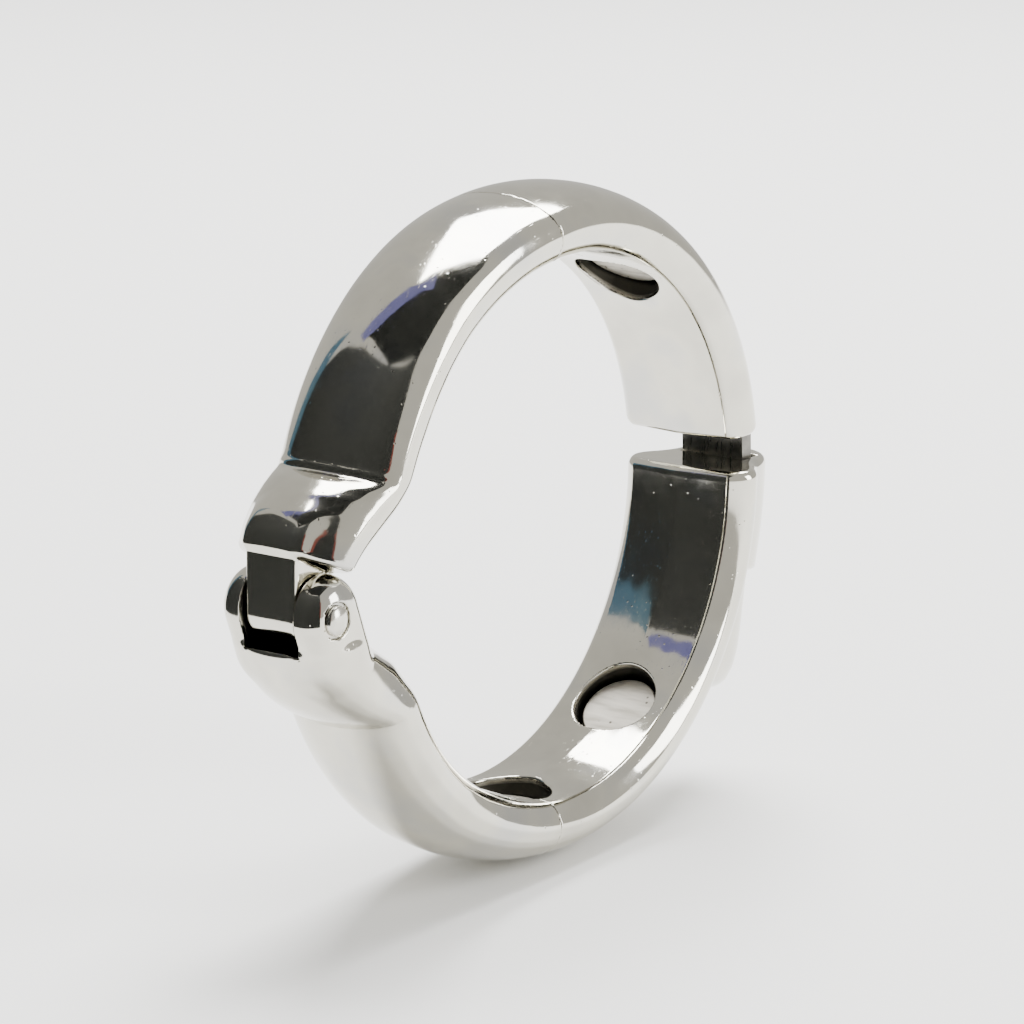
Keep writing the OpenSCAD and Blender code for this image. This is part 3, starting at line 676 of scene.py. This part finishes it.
def hardened_steel():
    """Blanked and hardened spring steel, oiled: dark grey, with fine rolling lines."""
    material, tree, shader, place = new_finish("hardened_steel")
    cloud = wire(tree, "ShaderNodeTexNoise", Vector=place, Scale=500.0, Detail=4.0).outputs["Fac"]
    casts = [(0.3, hex_colour("#4b4b4a")), (0.55, hex_colour("#6a6863")), (0.75, hex_colour("#83807a"))]
    tint = wire(tree, "ShaderNodeValToRGB", stops=casts, Fac=cloud).outputs[0]
    tree.links.new(tint, shader.inputs["Base Color"])
    drawn = wire(tree, "ShaderNodeMapping", Vector=place, Scale=(500.0, 6000.0, 500.0)).outputs[0]
    lines = wire(tree, "ShaderNodeTexNoise", Vector=drawn, Scale=1.0, Detail=3.0).outputs["Fac"]
    dull = wire(tree, "ShaderNodeMapRange", Value=lines, _1=0.3, _2=0.7, _3=0.24, _4=0.42).outputs[0]
    tree.links.new(dull, shader.inputs["Roughness"])
    bump = wire(tree, "ShaderNodeBump", Height=lines, Distance=0.00002, Strength=0.5).outputs[0]
    tree.links.new(bump, shader.inputs["Normal"])
    return material


def magnet_nickel():
    """Barrel-plated nickel on a pressed neodymium disc: silvery satin, with light tumbling marks and dark specks."""
    material, tree, shader, place = new_finish("barrel_plated_nickel")
    streak = wire(tree, "ShaderNodeMapping", Vector=place, Scale=(1800.0, 260.0, 1800.0)).outputs[0]
    brushed = wire(tree, "ShaderNodeTexNoise", Vector=streak, Scale=1.0, Detail=4.0).outputs["Fac"]
    casts = [(0.3, hex_colour("#b9b4a8")), (0.52, hex_colour("#d6d1c6")), (0.7, hex_colour("#e2ddd2"))]
    tint = wire(tree, "ShaderNodeValToRGB", stops=casts, Fac=brushed).outputs[0]
    # specks about 0.2 mm across
    specks = wire(tree, "ShaderNodeTexVoronoi", {"feature": "F1"}, Vector=place, Scale=1100.0).outputs["Distance"]
    speck = wire(tree, "ShaderNodeMapRange", Value=specks, _1=0.08, _2=0.16, _3=1.0, _4=0.0).outputs[0]
    colour = wire(tree, "ShaderNodeMix", {"data_type": "RGBA"}, Factor=speck, A=tint, B=hex_colour("#6c675e"))
    tree.links.new(colour.outputs["Result"], shader.inputs["Base Color"])
    dull = wire(tree, "ShaderNodeMapRange", Value=brushed, _1=0.3, _2=0.7, _3=0.40, _4=0.52).outputs[0]
    tree.links.new(dull, shader.inputs["Roughness"])
    bump = wire(tree, "ShaderNodeBump", Height=brushed, Distance=0.00001, Strength=0.3).outputs[0]
    tree.links.new(bump, shader.inputs["Normal"])
    return material


def dress(piece, material):
    piece.data.materials.clear()
    piece.data.materials.append(material)


# ---------- make the pieces ----------
chrome = bright_chrome()
rivet_finish = plated_rivet()
steel = hardened_steel()
nickel = magnet_nickel()

# name, field, lowest and highest corner of its grid, body, CAD node
castings = [
    ("upper_hinge_shell", upper_hinge_casting, (-32.0, -4.0, -6.2), (-0.5, 26.4, 6.2),
     "upper_half", "upper_hinge_arc"),
    ("lower_hinge_shell", lower_hinge_casting, (-32.0, -26.4, -6.2), (-0.3, 3.4, 6.2),
     "lower_half", "lower_hinge_arc"),
    ("upper_latch_shell", upper_latch_casting, (-4.6, 1.4, -6.2), (28.6, 25.8, 6.2),
     "upper_half", "upper_latch_arc"),
    ("lower_latch_shell", lower_latch_casting, (-4.6, -25.9, -6.2), (30.2, 1.4, 6.2),
     "lower_half", "lower_latch_arc"),
]
for name, field, low, high, body, node in castings:
    piece = skin(name, field, low, high, GRID)
    dress(piece, chrome)
    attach(piece, body)
    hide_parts(node)

lever = skin("thumb_lever", lever_casting, (16.5, -20.6, -4.0), (29.6, -0.6, 4.0), LEVER_GRID)
dress(lever, chrome)
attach(lever, "lever")
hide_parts("release_lever")

head = [(RIVET_HEAD * math.sin(math.radians(a)), RIVET_RIM + (RIVET_CROWN - RIVET_RIM) * math.cos(math.radians(a)))
        for a in range(0, 91, 9)]
head += [(RIVET_HEAD, RIVET_FACE), (RIVET_SHANK, RIVET_FACE)]
rivet = turned_pin("hinge_rivet", HINGE, head + [(r, -h) for r, h in reversed(head)])
dress(rivet, rivet_finish)
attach(rivet, "lower_half")
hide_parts("hinge_pin")

for node in ("ratchet_tongue", "lever_pin", "lever_spring"):
    dress(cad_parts[node], steel)

discs = magnet_tree(nickel)
for name, sign, body, replaced in (("upper_magnets", 1, "upper_half", ("magnet_upper_front", "magnet_upper_top")),
                                   ("lower_magnets", -1, "lower_half", ("magnet_lower_front", "magnet_lower_bottom"))):
    pair = magnet_pair(name, discs, sign)
    dress(pair, nickel)
    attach(pair, body)
    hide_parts(*replaced)


# ---------- studio, in metres ----------
def plain(name, colour, roughness):
    material = bpy.data.materials.new(name)
    material.use_nodes = True
    shader = material.node_tree.nodes["Principled BSDF"]
    shader.inputs["Base Color"].default_value = hex_colour(colour)
    shader.inputs["Roughness"].default_value = roughness
    return material


def staged_sheet(name, corners, faces, material):
    mesh = bpy.data.meshes.new(name)
    mesh.from_pydata(corners, [], faces)
    sheet = link_piece(name, mesh)
    dress(sheet, material)
    return sheet


def only_reflected(sheet):
    """Hides a sheet from everything but the plating's reflections."""
    sheet.visible_camera = sheet.visible_shadow = sheet.visible_diffuse = False


def softbox(name, place, size, power):
    light = bpy.data.lights.new(name, "AREA")
    light.shape = "RECTANGLE"
    light.size, light.size_y = size
    light.energy = power
    lamp = bpy.data.objects.new(name, light)
    lamp.location = place
    lamp.rotation_euler = (-Vector(place)).to_track_quat("-Z", "Y").to_euler()
    bpy.context.scene.collection.objects.link(lamp)


def curtain(name, low, high, bottom, tops, distance, material):
    """A dark curtain hung round the table, from compass angle low to high, its top edge rising and falling."""
    count = 40
    points = []
    for k in range(count + 1):
        a = math.radians(low + (high - low) * k / count)
        top = float(np.interp(k / count, np.linspace(0, 1, len(tops)), tops))
        points += [(distance * math.cos(a), distance * math.sin(a), z) for z in (bottom, top)]
    faces = [(2 * k, 2 * k + 1, 2 * k + 3, 2 * k + 2) for k in range(count)]
    only_reflected(staged_sheet(name, points, faces, material))


FLOOR_HALF = 3.0
FLOOR_HEIGHT = cad_bounds[0][2] - 0.0002
staged_sheet("floor", [(-FLOOR_HALF, -FLOOR_HALF, FLOOR_HEIGHT), (FLOOR_HALF, -FLOOR_HALF, FLOOR_HEIGHT),
                       (FLOOR_HALF, FLOOR_HALF, FLOOR_HEIGHT), (-FLOOR_HALF, FLOOR_HALF, FLOOR_HEIGHT)],
             [(0, 1, 2, 3)], plain("white_paper", "#fbfbfa", 0.9))

world = bpy.data.worlds.new("studio")
world.use_nodes = True
world.node_tree.nodes["Background"].inputs["Color"].default_value = hex_colour("#f6f4ee")
world.node_tree.nodes["Background"].inputs["Strength"].default_value = 0.85
bpy.context.scene.world = world

softbox("sky_softbox", (0.35, 0.15, 0.8), (0.6, 0.6), 22.0)
softbox("front_softbox", (0.35, -0.75, 0.30), (0.35, 0.6), 7.0)

felt = plain("black_felt", "#0e1110", 0.95)
curtain("table_curtain", 108, 222, -0.018, (0.026, 0.060, 0.076, 0.080, 0.080, 0.080, 0.080, 0.080), 0.065, felt)
cards = (
    ("dark_canopy", felt, [(-0.040, 0.051, 0.076), (-0.065, 0.0, 0.080), (-0.050, -0.046, 0.080),
                           (0.003, -0.030, 0.074), (0.004, -0.022, 0.074)]),
    ("violet_card", plain("violet_paper", "#4d4d7c", 0.8),
     [(-0.040, 0.052, 0.075), (-0.012, 0.009, 0.0745), (-0.018, 0.001, 0.0740), (-0.046, 0.044, 0.0745)]),
    ("red_card", plain("red_paper", "#5c1e14", 0.8),
     [(-0.0455, -0.0405, 0.0), (-0.0475, -0.0385, 0.0), (-0.0475, -0.0385, 0.034), (-0.0455, -0.0405, 0.034)]),
    ("blue_card", plain("blue_paper", "#2c4a5c", 0.8),
     [(-0.020, 0.0575, 0.0), (-0.028, 0.054, 0.0), (-0.028, 0.054, 0.060), (-0.020, 0.0575, 0.040)]),
)
for name, paper, corners in cards:
    only_reflected(staged_sheet(name, corners, [tuple(range(len(corners)))], paper))


# ---------- camera ----------
AZIMUTH, ELEVATION, DISTANCE = math.radians(-54.3), math.radians(13.9), 0.276
back = Vector((math.sin(AZIMUTH) * math.cos(ELEVATION), -math.cos(AZIMUTH) * math.cos(ELEVATION),
               math.sin(ELEVATION)))
lens = bpy.data.cameras.new("camera")
lens.lens, lens.sensor_width = 131.9, 36.0
lens.shift_x, lens.shift_y = -0.0143, 0.0081
lens.clip_start, lens.clip_end = 0.01, 20.0
camera = bpy.data.objects.new("camera", lens)
camera.location = back * DISTANCE
camera.rotation_euler = back.to_track_quat("Z", "Y").to_euler()
bpy.context.scene.collection.objects.link(camera)
bpy.context.scene.camera = camera
